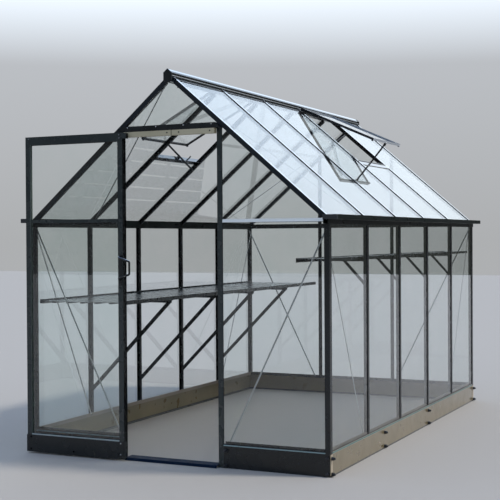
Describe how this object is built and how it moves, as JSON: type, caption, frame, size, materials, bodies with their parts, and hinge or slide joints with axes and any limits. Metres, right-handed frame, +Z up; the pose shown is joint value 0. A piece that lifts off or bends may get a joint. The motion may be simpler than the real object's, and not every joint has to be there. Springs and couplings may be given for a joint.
{
  "type": "greenhouse",
  "caption": "Glazed aluminium garden greenhouse with a sliding door, two open roof vents, a side bench and a narrow shelf, on a low base plinth.",
  "frame": {"origin": "centre of the whole part's bounding box at ground level, the underside of the base rails", "axes": "+Z up, +Y from the door gable towards the rear gable, +X to the right seen from the door"},
  "size_m": [2.062, 3.24, 2.267],
  "materials": {
    "frame_paint": "dark powder coat, semi-gloss",
    "base_paint": "dark powder coat, satin",
    "end_cap_plastic": "moulded, dark, satin",
    "pale_track": "mill finish, pale",
    "bare_aluminium": "mill finish",
    "clear_glass": "clear horticultural glass"
  },
  "bodies": {
    "greenhouse": {"base_side_rails": "base_paint", "base_front_rails": "frame_paint", "base_rear_rail": "base_paint", "door_threshold": "frame_paint", "corner_posts": "frame_paint", "door_posts": "frame_paint", "rear_gable_posts": "frame_paint", "side_wall_bars": "frame_paint", "side_sills": "frame_paint", "gable_sills": "frame_paint", "eave_gutters": "frame_paint", "gutter_end_caps": "end_cap_plastic", "gable_rafters": "frame_paint", "roof_bars": "frame_paint", "ridge_beam": "frame_paint", "ridge_end_caps": "frame_paint", "gable_crossbars": "frame_paint", "door_head": "frame_paint", "door_track": "pale_track", "front_gable_glass": "clear_glass", "rear_gable_glass": "clear_glass", "side_wall_glass": "clear_glass", "roof_glass": "clear_glass", "roof_glazing_caps": "frame_paint", "wall_glazing_caps": "frame_paint", "left_vent_frame": "frame_paint", "left_vent_glass": "clear_glass", "right_vent_frame": "frame_paint", "right_vent_glass": "clear_glass", "vent_sills": "frame_paint", "vent_stays": "bare_aluminium", "gable_braces": "bare_aluminium", "side_wall_braces": "bare_aluminium", "roof_braces": "bare_aluminium", "bench_slats": "frame_paint", "bench_edge_rails": "frame_paint", "bench_arms": "frame_paint", "bench_struts": "frame_paint", "shelf_slats": "frame_paint", "shelf_edge_rails": "frame_paint", "shelf_brackets": "frame_paint"},
    "door": {"door_stiles": "frame_paint", "door_rails": "frame_paint", "door_glass": "clear_glass", "door_kick_panel": "frame_paint", "door_handle": "frame_paint", "door_hangers": "bare_aluminium"}
  },
  "joints": [
    {"name": "door_slide", "type": "slide", "parent": "greenhouse", "child": "door", "axis": [1, 0, 0], "range_m": [0, 0.625]}
  ]
}
